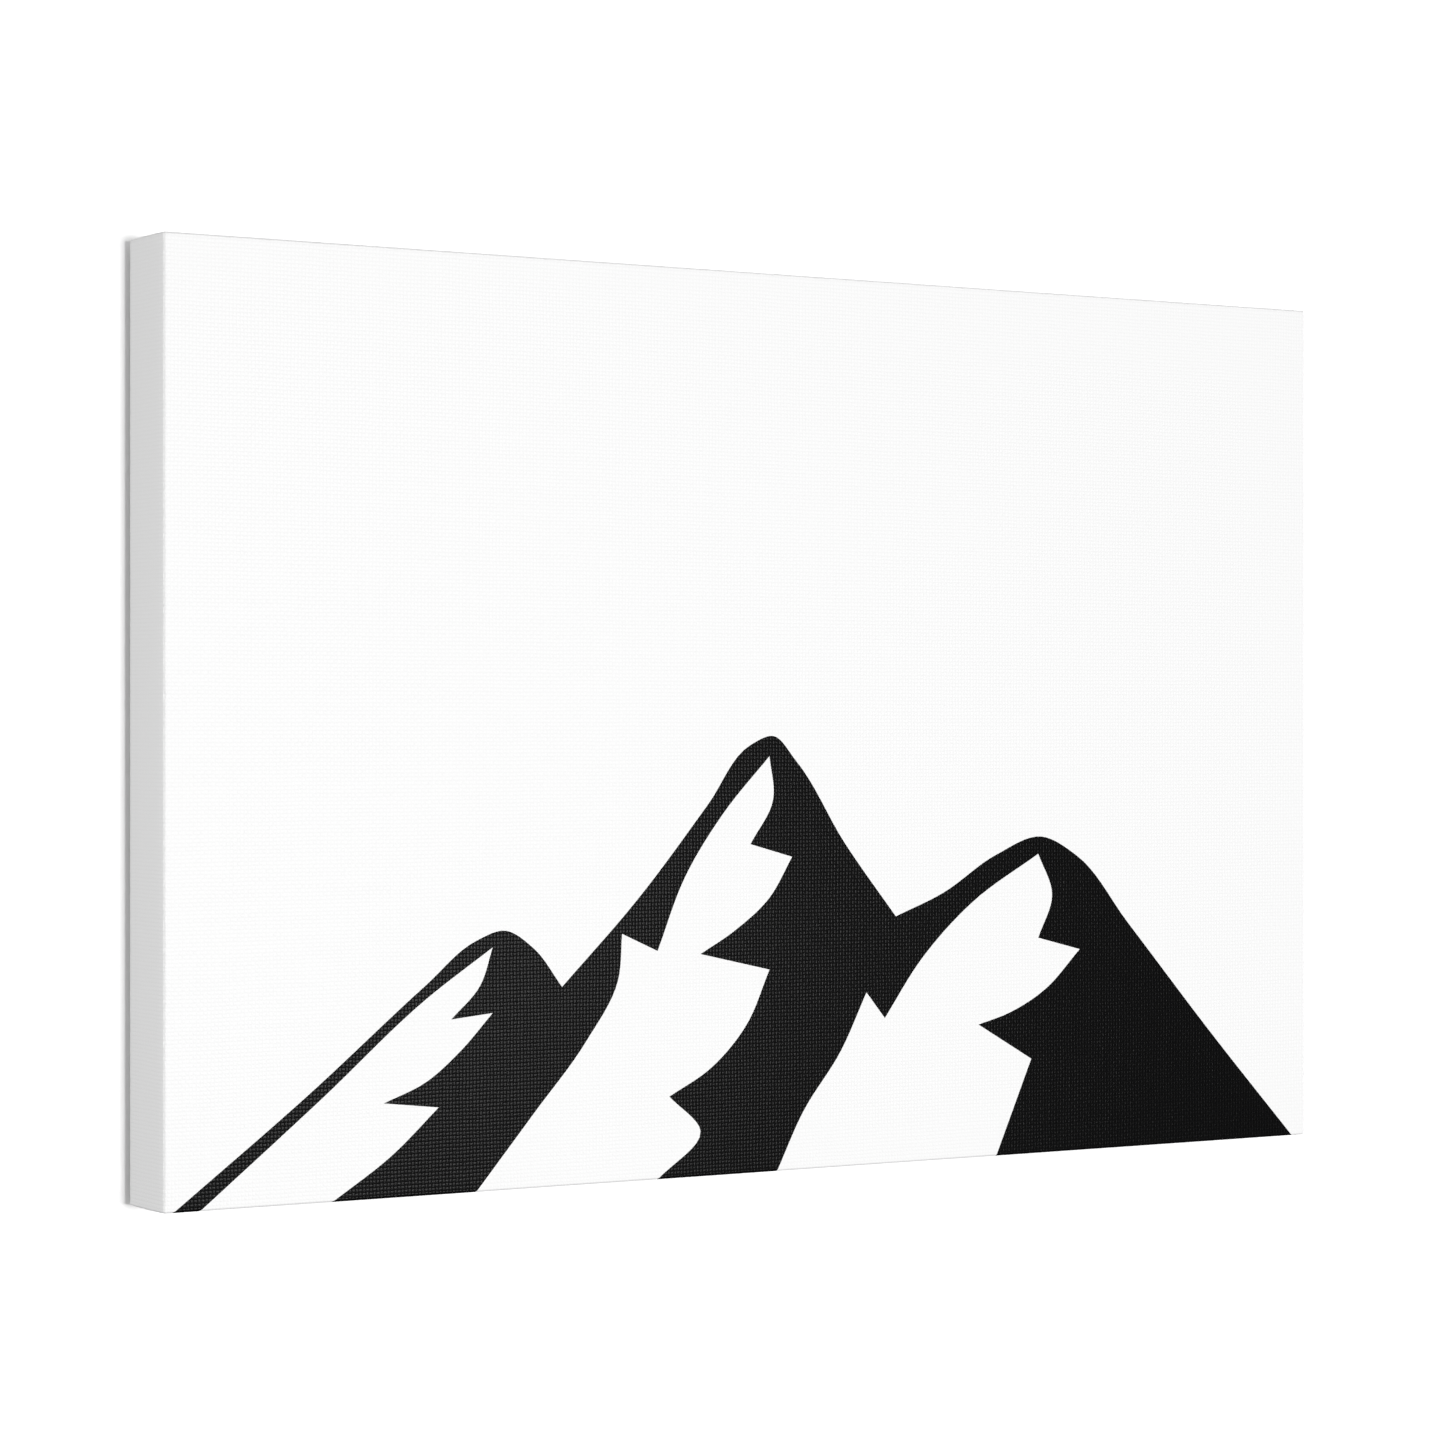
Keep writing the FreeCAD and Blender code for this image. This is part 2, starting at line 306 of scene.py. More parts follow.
def plain_weave(place, pitch):
    """The height of a plain weave, from 0 in the gaps to 1 on the crowns, with uneven hand-spun threads."""
    wander = noise(place, 90.0, 2.0) - 0.5
    across, along, _ = split(place)
    warp = across / pitch + wander * 0.7
    weft = along / pitch + wander * 0.5
    warp_arch = (warp * math.pi).sine()
    weft_arch = (weft * math.pi).sine()
    over = (warp_arch * weft_arch).rise(-0.2, 0.2)
    warp_crown = warp_arch.size() * weft_arch.size() ** 0.35
    weft_crown = weft_arch.size() * warp_arch.size() ** 0.35
    warp_slub = noise(joined(warp.whole() * 3.7, weft * 0.06), 1.0, 1.0)
    weft_slub = noise(joined(warp * 0.06, weft.whole() * 3.7, 5.0), 1.0, 1.0)
    thick = 0.55 + warp_slub * 0.9 * over + weft_slub * 0.9 * (1 - over)
    return (weft_crown + (warp_crown - weft_crown) * over) * thick


def primed_cotton(sizes, colours):
    """Matt white primer that half fills the weave, with painted shade in the weave's gaps."""
    finish = Finish("primed_cotton", {"Roughness": 0.45, "Specular IOR Level": 0.5})
    place = finish.cloth_place()
    threads = plain_weave(place, sizes.thread_pitch)
    cloud = noise(place, 12.0, 4.0)
    # Painted shade: the weave's gaps are painted up to 3.5 per cent darker than the crowns, and the cloud
    # adds a little random tone.
    shade = threads.rise(0.0, 0.9) * 0.75 + cloud * 0.25
    painted_gap_shade = [part * 0.965 for part in colours.primer]
    finish.feed("Base Color", mixed(shade, painted_gap_shade, colours.primer))
    finish.relief(threads, sizes.relief * 1.4)
    return finish.material


def printed_ink(sizes, colours):
    """Black ink on the primer: a soft satin film that follows the threads, with painted shade in the gaps
    between them.
    """
    finish = Finish("printed_ink", {"Specular IOR Level": 0.06})
    place = finish.cloth_place()
    threads = plain_weave(place, sizes.thread_pitch)
    cloud = noise(place, 25.0, 4.0)
    # Painted light and shade: the ink is painted 1.6 times lighter on the thread crowns than in the gaps,
    # standing in for lit crowns and shaded gaps.
    painted_crown_light = [part * 1.6 for part in colours.ink]
    raised = threads.rise(0.1, 0.6)
    finish.feed("Base Color", mixed(raised, colours.ink, painted_crown_light))
    finish.feed("Roughness", 0.67 + cloud * 0.05 - raised * 0.47)
    finish.relief(threads, sizes.relief * 0.7)
    return finish.material


def loose_thread(colours):
    """Unprimed cotton thread with a little of its twist."""
    finish = Finish("loose_thread", {"Roughness": 0.85, "Specular IOR Level": 0.2})
    twist = noise(finish.object_place(), 3500.0, 2.0)
    pale = [part * 1.25 for part in colours.cotton]
    finish.feed("Base Color", mixed(twist, colours.cotton, pale))
    return finish.material


def raw_cotton(sizes, colours):
    """The unprimed side of the cloth, natural cotton with a few seed flecks and painted shadow in the
    weave's gaps.
    """
    finish = Finish("raw_cotton", {"Roughness": 0.9, "Specular IOR Level": 0.15})
    place = finish.cloth_place()
    threads = plain_weave(place, sizes.thread_pitch)
    # Painted shadow: the gaps between threads are painted at 0.62 of the cotton's colour.
    painted_gap_shadow = [part * 0.62 for part in colours.cotton]
    fleck_colour = [part * 0.42 for part in colours.cotton]
    base = mixed(threads.rise(0.05, 0.85), painted_gap_shadow, colours.cotton)
    flecks = noise(place, 420.0, 1.0).rise(0.735, 0.79)
    finish.feed("Base Color", mixed(flecks * 0.55, base, fleck_colour))
    finish.relief(threads, sizes.relief * 3.6)
    return finish.material


def along_grain(place, axis, near, far):
    """Stretches a place so that noise on it runs with the grain."""
    factors = [far, far, far]
    factors[axis] = near
    return stretched(place, tuple(factors))


# How far the log's heart lies outside the bar, across its two thin directions
PINE_HEART = (0.045, 0.03)


def pine(name, axis, seed, sizes, colours):
    """Planed softwood sawn from near the outside of the log, with its grain along one axis."""
    finish = Finish(name, {"Specular IOR Level": 0.3})
    place = shifted(finish.object_place(), (seed * 0.31, seed * 0.017, seed * 0.23))
    sway = noise(along_grain(place, axis, 2.5, 14.0), 1.0, 2.0) - 0.5
    numbers = split(place)
    across = [numbers[index] for index in range(3) if index != axis]
    from_heart = (across[0] + PINE_HEART[0]) ** 2.0 + (across[1] * 0.8 + PINE_HEART[1]) ** 2.0
    log_radius = from_heart.root() + sway * 0.02
    seasons = noise(joined(log_radius * 210, seed * 1.7), 1.0, 1.0)
    years = log_radius / sizes.ring_spacing + seasons * 1.6
    ring = years.part()
    vigour = noise(joined(years.whole() * 5.3, seed * 2.9), 1.0, 0.0).rise(0.25, 0.75)
    late = ring.rise(0.3, 0.92) * (1 - ring.rise(0.94, 1.0)) * (0.45 + vigour * 0.55)
    fibres = noise(along_grain(place, axis, 40.0, 1600.0), 1.0, 3.0)
    pores = noise(along_grain(place, axis, 130.0, 3000.0), 1.0, 2.0).rise(0.62, 0.74)
    cloud = noise(place, 18.0, 3.0)
    pale = [part * 1.12 for part in colours.early_wood]
    body = mixed(cloud.rise(0.3, 0.7), colours.early_wood, pale)
    ringed = mixed(late * (0.35 + fibres * 0.6), body, colours.late_wood)
    pore_colour = [part * 0.7 for part in colours.late_wood]
    finish.feed("Base Color", mixed(pores * 0.35, ringed, pore_colour))
    finish.feed("Roughness", 0.5 + fibres * 0.2 - late * 0.08)
    finish.relief(fibres * 0.6 + late * 0.5 - pores * 0.5, 0.05 * MM)
    return finish.material


def beech(name, axis, colours):
    """Close-grained hardwood with short flecks along the grain."""
    finish = Finish(name, {"Specular IOR Level": 0.3})
    place = finish.object_place()
    fibres = noise(along_grain(place, axis, 60.0, 1900.0), 1.0, 3.0)
    flecks = noise(along_grain(place, axis, 260.0, 2600.0), 1.0, 1.0).rise(0.60, 0.70)
    cloud = noise(along_grain(place, axis, 15.0, 90.0), 1.0, 3.0)
    pale = [part * 1.15 for part in colours.beech]
    body = mixed(cloud.rise(0.3, 0.7), colours.beech, pale)
    finish.feed("Base Color", mixed(flecks * 0.6, body, colours.beech_fleck))
    finish.feed("Roughness", 0.48 + fibres * 0.2)
    finish.relief(fibres - flecks * 0.5, 0.04 * MM)
    return finish.material


def plated(name, base, bloom, roughness):
    """Plated steel: a cloudy plating with fine rubbed scratches."""
    finish = Finish(name, {"Metallic": 1.0})
    place = finish.object_place()
    cloud = noise(place, 260.0, 4.0)
    scratches = noise(stretched(place, (300.0, 900.0, 5200.0)), 1.0, 2.0)
    finish.feed("Base Color", mixed(cloud.rise(0.35, 0.7), base, bloom))
    finish.feed("Roughness", roughness + cloud * 0.14 + scratches.rise(0.55, 0.75) * 0.12)
    finish.relief(scratches + cloud, 0.008 * MM)
    return finish.material


def soft_rubber(colours):
    """Moulded rubber, slightly chalky with dust where it is high."""
    finish = Finish("bumper_rubber", {"Specular IOR Level": 0.4})
    place = finish.object_place()
    grain = noise(place, 2600.0, 3.0)
    dust = noise(place, 420.0, 4.0).rise(0.55, 0.8)
    chalk = [0.12, 0.12, 0.115]
    finish.feed("Base Color", mixed(dust * 0.35, colours.rubber, chalk))
    finish.feed("Roughness", 0.62 + dust * 0.2)
    finish.relief(grain, 0.03 * MM)
    return finish.material


# ---- The motif: a mountain range with snow, in millimetres from the face's lower left corner ----
# Each point is (across, up, cut): the outline turns sharply at a cut point and flows through the others.

RANGE = [
    (2, 0, True), (33, 23, False), (60, 44.5, False), (72, 53.5, False), (79, 55.5, False),
    (86, 51.5, False), (93, 43, True), (112, 61.5, False), (130, 82, False), (141, 95, False),
    (147, 97, False), (153, 91.5, False), (166, 73, False), (180, 56, True), (193, 61, False),
    (208, 69.5, False), (221, 73.5, False), (231, 69, False), (246, 53, False), (270, 27, False),
    (296, 0, True),
]
SNOW = [
    [
        (8, 0, True), (36, 22, False), (60, 41.5, False), (76, 52, True), (73, 44, False),
        (66, 37, True), (76, 38, True), (68, 30, False), (60, 24, False), (50, 20, True),
        (63, 18.5, True), (52, 9, False), (38, 0, True),
    ],
    [
        (72, 0, True), (86, 16, False), (99, 31, False), (107, 44, False), (108, 54, True),
        (117, 50, True), (124, 66, False), (134, 80, False), (146, 92.5, True), (147, 83, False),
        (141, 73, True), (152, 70, True), (146, 61, False), (137, 54, False), (128, 49, True),
        (146, 45, True), (140, 33, False), (131, 24, False), (120, 18, True), (128, 10, False),
        (117, 0, True),
    ],
    [
        (148, 0, True), (155, 13, False), (165, 26, False), (172, 39, True), (177, 33, True),
        (187, 46, False), (201, 58.5, False), (220, 69.5, True), (224, 60, False), (220, 50, True),
        (232, 47, True), (222, 38, False), (212, 33, False), (203, 30.5, True), (218, 22, True),
        (213, 11, False), (208, 0, True),
    ],
]
CURVE_STEPS = 8


def slope_at(points, index, outgoing):
    """The direction of an outline at a point, per unit of its length."""
    here = Vector(points[index][:2])
    cut = points[index][2]
    if cut and outgoing:
        return (Vector(points[index + 1][:2]) - here).normalized()
    if cut:
        return (here - Vector(points[index - 1][:2])).normalized()
    before = here - Vector(points[index - 1][:2])
    after = Vector(points[index + 1][:2]) - here
    weighted = before.normalized() * after.length + after.normalized() * before.length
    return weighted / (before.length + after.length)


def flowing(points):
    """The outline through the points, anticlockwise, in metres. Its last side is the face's edge."""
    outline = []
    for index in range(len(points) - 1):
        start = Vector(points[index][:2])
        end = Vector(points[index + 1][:2])
        span = (end - start).length
        leave = slope_at(points, index, True) * span
        arrive = slope_at(points, index + 1, False) * span
        for step in range(CURVE_STEPS):
            t = step / CURVE_STEPS
            place = start * (2 * t**3 - 3 * t**2 + 1) + leave * (t**3 - 2 * t**2 + t)
            place += end * (3 * t**2 - 2 * t**3) + arrive * (t**3 - t**2)
            outline.append(place * MM)
    outline.append(Vector(points[-1][:2]) * MM)
    return outline[::-1]


def bled(outline, depth):
    """The band that an outline prints straight on past the bottom arris, from where it meets it."""
    last = outline[0].x
    first = outline[-1].x
    return [Vector((first, 0)), Vector((last, 0)), Vector((last, depth)), Vector((first, depth))]


# ---- Cloth ----

def bend_lines(span, radius):
    """Where lines cross a side so that its rounded edges are divided into equal turns."""
    insets = [radius * (1 - math.tan(math.pi / 4 * step / BEND_STEPS)) for step in range(BEND_STEPS)]
    return insets + [span - inset for inset in insets]


def divided(width, height, lines, outlines, extra_edges=()):
    """Triangles of a rectangle cut along lines and outlines, each with the outlines that hold it."""
    points = []
    edges = []
    faces = []
    for outline in ([(0, 0), (width, 0), (width, height), (0, height)], *outlines):
        faces.append(list(range(len(points), len(points) + len(outline))))
        points += [Vector(place) for place in outline]
    crossings = [((x, 0), (x, height)) for x in lines[0]] + [((0, y), (width, y)) for y in lines[1]]
    for start, end in (*crossings, *extra_edges):
        edges.append((len(points), len(points) + 1))
        points += [Vector(start), Vector(end)]
    places, _, cells, _, _, held = delaunay_2d_cdt(points, edges, faces, INSIDE_ONLY, SAME_POINT)
    return places, cells, held


def rounded(point, sizes):
    """Moves a point of the sharp-edged box onto the stretched cloth. Returns it and its normal."""
    radius = sizes.edge_radius
    core = Vector((
        min(max(point.x, LEFT + radius), RIGHT - radius),
        min(max(point.y, FRONT + radius), BACK - radius),
        min(max(point.z, radius), TOP - radius),
    ))
    normal = (point - core).normalized()
    along = (point.y - FRONT) / DEPTH
    proud = sizes.bulge * 4 * along * (1 - along) * max(abs(normal.x), abs(normal.z))
    return core + normal * (radius + proud), normal


def nearest_edge(point):
    """Which edge of the back a point is nearest to, and how far it is from it."""
    gaps = {"left": point.x - LEFT, "right": RIGHT - point.x, "bottom": point.z, "top": TOP - point.z}
    edge = min(gaps, key=gaps.get)
    return edge, gaps


def laid_flat(point, side, flap):
    """Where a point lies on the cloth before it is stretched: across, and up from the face's lower edge."""
    turned = point.y - FRONT
    if flap:
        side = flap
        turned = DEPTH + nearest_edge(point)[1][flap]
    if side == "left":
        return LEFT - turned, point.z
    if side == "right":
        return RIGHT + turned, point.z
    if side == "bottom":
        return point.x, -turned
    if side == "top":
        return point.x, TOP + turned
    return point.x, point.z


def cut_edge(sizes):
    """The hand-cut inner edge of the strip on the back, in the back's own plane."""
    width = RIGHT - LEFT
    corners = [Vector((0, 0)), Vector((width, 0)), Vector((width, TOP)), Vector((0, TOP))]
    outline = []
    for index, corner in enumerate(corners):
        along = corners[(index + 1) % 4] - corner
        run = along.length - 2 * sizes.flap
        along.normalize()
        inward = Vector((-along.y, along.x))
        steps = int(run / EDGE_STEP)
        for step in range(steps):
            reach = sizes.flap + run * step / steps
            stray = sum(math.sin(reach * rate + index * turn) * share for rate, turn, share in CUT_WAVES)
            stray *= sizes.flap_wander * min(1.0, step / 2)
            outline.append(corner + along * reach + inward * (sizes.flap + stray))
    return outline


class Side:
    """One flat side of the sharp-edged box, whose triangles are bent at its edges into the cloth."""

    def __init__(self, name, origin, across, up, outward):
        self.name = name
        self.origin = Vector(origin)
        self.across = Vector(across)
        self.up = Vector(up)
        self.outward = Vector(outward)
        self.edge = name not in ("front", "back")

    def sharp(self, place):
        return self.origin + self.across * place.x + self.up * place.y


def add_side(mesh, side, sizes, division, slot_for):
    """Adds one divided side to the cloth's mesh. slot_for gives a material slot, or None for a gap."""
    layer = mesh.loops.layers.uv["cloth"]
    places, cells, holders = division
    sharp = [side.sharp(place) for place in places]
    bent = [rounded(point, sizes) for point in sharp]
    corners = [mesh.verts.new(place) for place, _ in bent]
    for cell, held in zip(cells, holders):
        slot = slot_for(held)
        if slot is None:
            continue
        face = mesh.faces.new([corners[index] for index in cell])
        face.material_index = slot
        face.smooth = side.edge or any(bent[index][1].dot(side.outward) < FLAT_COSINE for index in cell)
        middle = sum((sharp[index] for index in cell), Vector()) / len(cell)
        flap = nearest_edge(middle)[0] if side.name == "back" else None
        for index, loop in zip(cell, face.loops):
            loop[layer].uv = laid_flat(sharp[index], side.name, flap)
        face.normal_update()
        if face.normal.dot(side.outward) < 0:
            face.normal_flip()


def printed(held):
    """Ink inside the range's outline and outside every patch of snow. Outline 0 is the side itself."""
    return INK if 1 in held and max(held) == 1 else WHITE


def add_shell(mesh, sizes):
    """The face, the four edges and the strip on the back as one bent shell."""
    width = RIGHT - LEFT
    radius = sizes.edge_radius
    across = bend_lines(width, radius)
    up = bend_lines(TOP, radius)
    deep = bend_lines(DEPTH, radius)
    deep += [radius + (DEPTH - 2 * radius) * step / BULGE_STEPS for step in range(1, BULGE_STEPS)]
    motif = [flowing(RANGE)] + [flowing(patch) for patch in SNOW]
    bands = [bled(outline, DEPTH) for outline in motif]
    bleeds = [bled(outline, sizes.bleed) for outline in motif]
    hole = cut_edge(sizes)
    inner = [(sizes.flap, sizes.flap), (width - sizes.flap, sizes.flap)]
    inner += [(x, TOP - sizes.flap) for x, _ in reversed(inner)]
    outer = [(0, 0), (width, 0), (width, TOP), (0, TOP)]

    front = Side("front", (LEFT, FRONT, 0), (1, 0, 0), (0, 0, 1), (0, -1, 0))
    back = Side("back", (LEFT, BACK, 0), (1, 0, 0), (0, 0, 1), (0, 1, 0))
    bottom = Side("bottom", (LEFT, FRONT, 0), (1, 0, 0), (0, 1, 0), (0, 0, -1))
    top = Side("top", (LEFT, FRONT, TOP), (1, 0, 0), (0, 1, 0), (0, 0, 1))
    left = Side("left", (LEFT, FRONT, 0), (0, 0, 1), (0, 1, 0), (-1, 0, 0))
    right = Side("right", (RIGHT, FRONT, 0), (0, 0, 1), (0, 1, 0), (1, 0, 0))

    add_side(mesh, front, sizes, divided(width, TOP, (across, up), motif), printed)
    add_side(mesh, bottom, sizes, divided(width, DEPTH, (across, deep), bands), printed)
    add_side(mesh, top, sizes, divided(width, DEPTH, (across, deep), []), printed)
    for edge in (left, right):
        add_side(mesh, edge, sizes, divided(TOP, DEPTH, (up, deep), []), printed)
    ring = divided(width, TOP, (across, up), [*bleeds, hole], list(zip(outer, inner)))
    window = len(bleeds) + 1
    add_side(mesh, back, sizes, ring, lambda held: None if window in held else printed(held))


def fold_place(along, path, lift, corner, sizes):
    """A point of a corner's folded layers, by its distance along the bar and round it from the front."""
    if path < DEPTH:
        sharp = Vector((LEFT + along, FRONT + path, TOP))
    else:
        sharp = Vector((LEFT + along, BACK, TOP + DEPTH - path))
    place, normal = rounded(sharp, sizes)
    place += normal * lift
    mirror_x, mirror_z = corner
    if mirror_x:
        place.x = -place.x
    if mirror_z:
        place.z = TOP - place.z
    return place


def fold_columns(path, sizes):
    """Across a fold at one path: (distance along the bar, height). A crisp folded edge, then a soft end."""
    grown = min(1.0, path / DEPTH)
    over = min(1.0, max(0.0, path - DEPTH) / FOLD_BUILDS_UP)
    near = FOLD_INSET + max(0.0, path - DEPTH)
    far = FOLD_INSET + grown * sizes.flap + FOLD_SOFT_END * 0.5
    width = max(far - near, FOLD_NARROWEST)
    share = min(1.0, width / (FOLD_CRISP_EDGE + FOLD_SOFT_END))
    height = sizes.fold_thickness * share * grown * (FOLD_TIGHT + (1 - FOLD_TIGHT) * over)
    columns = []
    for step in range(FOLD_STEPS + 1):
        turn = math.pi / 2 * step / FOLD_STEPS
        inset = FOLD_CRISP_EDGE * share * (1 - math.cos(turn))
        columns.append((near + inset, height * math.sin(turn)))
    for step in range(FOLD_STEPS + 1):
        t = step / FOLD_STEPS
        soft = FOLD_SOFT_END * share * (1 - t)
        columns.append((near + width - soft, height * (1 - t * t * (3 - 2 * t))))
    return columns


def ink_bands():
    """Where each band of the print on the bottom edge starts and ends, across the face."""
    return [(LEFT + outline[0][0] * MM, LEFT + outline[-1][0] * MM) for outline in (RANGE, *SNOW)]


def print_fold(mesh, sizes):
    """Cuts a fold of the bottom edge where the print's bands end, and inks what lies in them."""
    layer = mesh.loops.layers.uv["cloth"]
    bands = ink_bands()
    for band in bands:
        for end in band:
            everything = [*mesh.verts, *mesh.edges, *mesh.faces]
            cut = {"plane_co": (end, 0, 0), "plane_no": (1, 0, 0)}
            bmesh.ops.bisect_plane(mesh, geom=everything, dist=MERGE, **cut)
    for face in mesh.faces:
        across = face.calc_center_median().x
        path = max(loop[layer].uv.y for loop in face.loops)
        held = [low < across < high for low, high in bands]
        if held[0] and not any(held[1:]) and path < DEPTH + sizes.bleed + MERGE:
            face.material_index = INK


def add_fold(mesh, corner, sizes):
    """The layers folded at one corner: up the bar's edge from the front, then a mitre on the back."""
    layer = mesh.loops.layers.uv["cloth"]
    over_edge = DEPTH - sizes.edge_radius
    down_back = DEPTH + sizes.edge_radius
    paths = [over_edge * step / FOLD_ROWS for step in range(FOLD_ROWS)]
    paths += [over_edge + 2 * sizes.edge_radius * step / FOLD_STEPS for step in range(FOLD_STEPS)]
    on_back = sizes.flap - sizes.edge_radius
    paths += [down_back + on_back * step / FOLD_ROWS for step in range(FOLD_ROWS + 1)]
    paths = sorted([*paths, DEPTH + sizes.bleed])
    rows = []
    for path in paths:
        columns = fold_columns(path, sizes)
        row = [
            (mesh.verts.new(fold_place(along, path, lift, corner, sizes)), (along, path))
            for along, lift in columns
        ]
        rows.append(row)
    for lower, upper in zip(rows, rows[1:]):
        for index in range(len(lower) - 1):
            ring = [lower[index], lower[index + 1], upper[index + 1], upper[index]]
            if corner[0] != corner[1]:
                ring.reverse()
            face = mesh.faces.new([vertex for vertex, _ in ring])
            face.smooth = True
            for loop, (_, place) in zip(face.loops, ring):
                loop[layer].uv = place
    if corner[1]:
        print_fold(mesh, sizes)


def finished(name, mesh, materials, body="frame"):
    """Makes a piece from a mesh under construction, and lets it ride on a body."""
    data = bpy.data.meshes.new(name)
    mesh.to_mesh(data)
    mesh.free()
    for material in materials:
        data.materials.append(material)
    piece = bpy.data.objects.new(name, data)
    bpy.context.scene.collection.objects.link(piece)
    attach(piece, body)
    return piece


def loose_ends(sizes):
    """Short ends of thread along the strip's cut edge, each as a few points in the back's own plane."""
    chance = random.Random(FRAY_SEED)
    outline = cut_edge(sizes)
    clear = sizes.flap + FRAY_CLEAR
    ends = []
    for place, following in zip(outline, outline[1:]):
        along = following - place
        root = place + along * chance.random()
        to_side = min(root.x, RIGHT - LEFT - root.x)
        to_end = min(root.y, TOP - root.y)
        reach = FRAY_SHORTEST + FRAY_SPREAD * chance.random() ** 3
        bend = chance.uniform(-FRAY_BEND, FRAY_BEND)
        curl = chance.uniform(-FRAY_CURL, FRAY_CURL)
        if to_side < clear and to_end < clear:
            continue
        along.normalize()
        inward = Vector((-along.y, along.x))
        points = [root - inward * FRAY_HELD]
        for part in FRAY_PARTS:
            sideways = bend * part ** 2 + curl * part ** 3
            points.append(root + (inward * part + along * sideways) * reach)
        ends.append(points)
    return ends


class CANVAS_OT_cloth(Operator):
    """Stretches the printed cotton over the bars, with its strip on the back and folded corners"""

    bl_idname = "canvas.cloth"
    bl_label = "Stretch Cloth"

    def execute(self, context):
        sizes = context.scene.canvas_sizes
        colours = context.scene.canvas_colours
        mesh = bmesh.new()
        mesh.loops.layers.uv.new("cloth")
        add_shell(mesh, sizes)
        bmesh.ops.remove_doubles(mesh, verts=mesh.verts, dist=MERGE)
        for corner in ((False, False), (True, False), (False, True), (True, True)):
            self.add_folded_corner(mesh, corner, sizes)
        raw = raw_cotton(sizes, colours)
        materials = [primed_cotton(sizes, colours), printed_ink(sizes, colours), raw, raw]
        cloth = finished("stretched_cloth", mesh, materials)
        wall = cloth.modifiers.new("thickness", "SOLIDIFY")
        wall.thickness = THICKNESS
        wall.offset = -1
        wall.material_offset = WHITE_BACK
        wall.material_offset_rim = WHITE_BACK
        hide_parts("canvas_cloth")
        turned = 2 * (DEPTH + sizes.flap)
        RIGHT - LEFT + turned
        TOP + turned
        self.add_frayed_threads(sizes, colours)
        return {"FINISHED"}

    def add_frayed_threads(self, sizes, colours):
        """Lays the loose thread ends of the cut edge on the bars."""
        line = bpy.data.curves.new("frayed_threads", "CURVE")
        line.dimensions = "3D"
        line.bevel_depth = FRAY_RADIUS
        line.bevel_resolution = 1
        line.use_fill_caps = True
        for points in loose_ends(sizes):
            thread = line.splines.new("POLY")
            thread.points.add(len(points) - 1)
            for index, place in enumerate(points):
                lift = FRAY_LIFT if index else FRAY_ROOT_LIFT
                depth = BACK - THICKNESS + lift * FRAY_RADIUS
                thread.points[index].co = (LEFT + place.x, depth, place.y, 1)
                thread.points[index].radius = 1 - FRAY_TAPER * index
        line.materials.append(loose_thread(colours))
        piece = bpy.data.objects.new("frayed_threads", line)
        bpy.context.scene.collection.objects.link(piece)
        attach(piece, "frame")
        return piece

    def add_folded_corner(self, mesh, corner, sizes):
        """Builds a fold apart from the shell, because its cuts go right through, and then adds it."""
        fold = bmesh.new()
        fold.loops.layers.uv.new("cloth")
        add_fold(fold, corner, sizes)
        data = bpy.data.meshes.new("fold")
        fold.to_mesh(data)
        fold.free()
        mesh.from_mesh(data)
        bpy.data.meshes.remove(data)


# ---- Frame pieces that keep their shape ----

def dress(nodes, material):
    """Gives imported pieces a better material."""
    for node in nodes:
        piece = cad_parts[node]
        for slot in piece.material_slots:
            slot.link = "DATA"
            slot.material = material


class CANVAS_OT_bars(Operator):
    """Gives each stretcher bar its own stick of planed pine"""

    bl_idname = "canvas.bars"
    bl_label = "Finish Stretcher Bars"

    def execute(self, context):
        sizes = context.scene.canvas_sizes
        colours = context.scene.canvas_colours
        for seed, (side, axis) in enumerate((("top", 0), ("right", 2), ("bottom", 0), ("left", 2))):
            dress(["stretcher_bar_" + side], pine("pine_" + side, axis, seed + 1, sizes, colours))
        return {"FINISHED"}


class CANVAS_OT_keys(Operator):
    """Gives the corner keys a close-grained hardwood"""

    bl_idname = "canvas.keys"
    bl_label = "Finish Corner Keys"

    def execute(self, context):
        colours = context.scene.canvas_colours
        for lie, axis in (("upright", 2), ("level", 0)):
            nodes = [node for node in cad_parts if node.startswith("key_") and node.endswith(lie)]
            dress(nodes, beech("beech_" + lie, axis, colours))
        return {"FINISHED"}


class CANVAS_OT_fixings(Operator):
    """Plates the staples, the hanger and its nails"""

    bl_idname = "canvas.fixings"
    bl_label = "Finish Fixings"

    def execute(self, context):
        colours = context.scene.canvas_colours
        dull = [part * 0.8 for part in colours.zinc]
        red, green, blue = colours.yellow_zinc
        rosy = [red, green * 0.85, blue * 1.2]
        staples = [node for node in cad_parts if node.startswith("staples_")]
        dress(staples, plated("staple_wire", colours.zinc, dull, 0.28))
        dress(["sawtooth_hanger"], plated("hanger_plate", colours.yellow_zinc, rosy, 0.5))
        dress(["hanger_nails"], plated("nail_steel", colours.yellow_zinc, colours.zinc, 0.2))
        return {"FINISHED"}


class CANVAS_OT_bumpers(Operator):
    """Moulds the wall bumpers in rubber"""

    bl_idname = "canvas.bumpers"
    bl_label = "Finish Bumpers"

    def execute(self, context):
        dress(["bumper_left", "bumper_right"], soft_rubber(context.scene.canvas_colours))
        return {"FINISHED"}


# ---- Stage ----

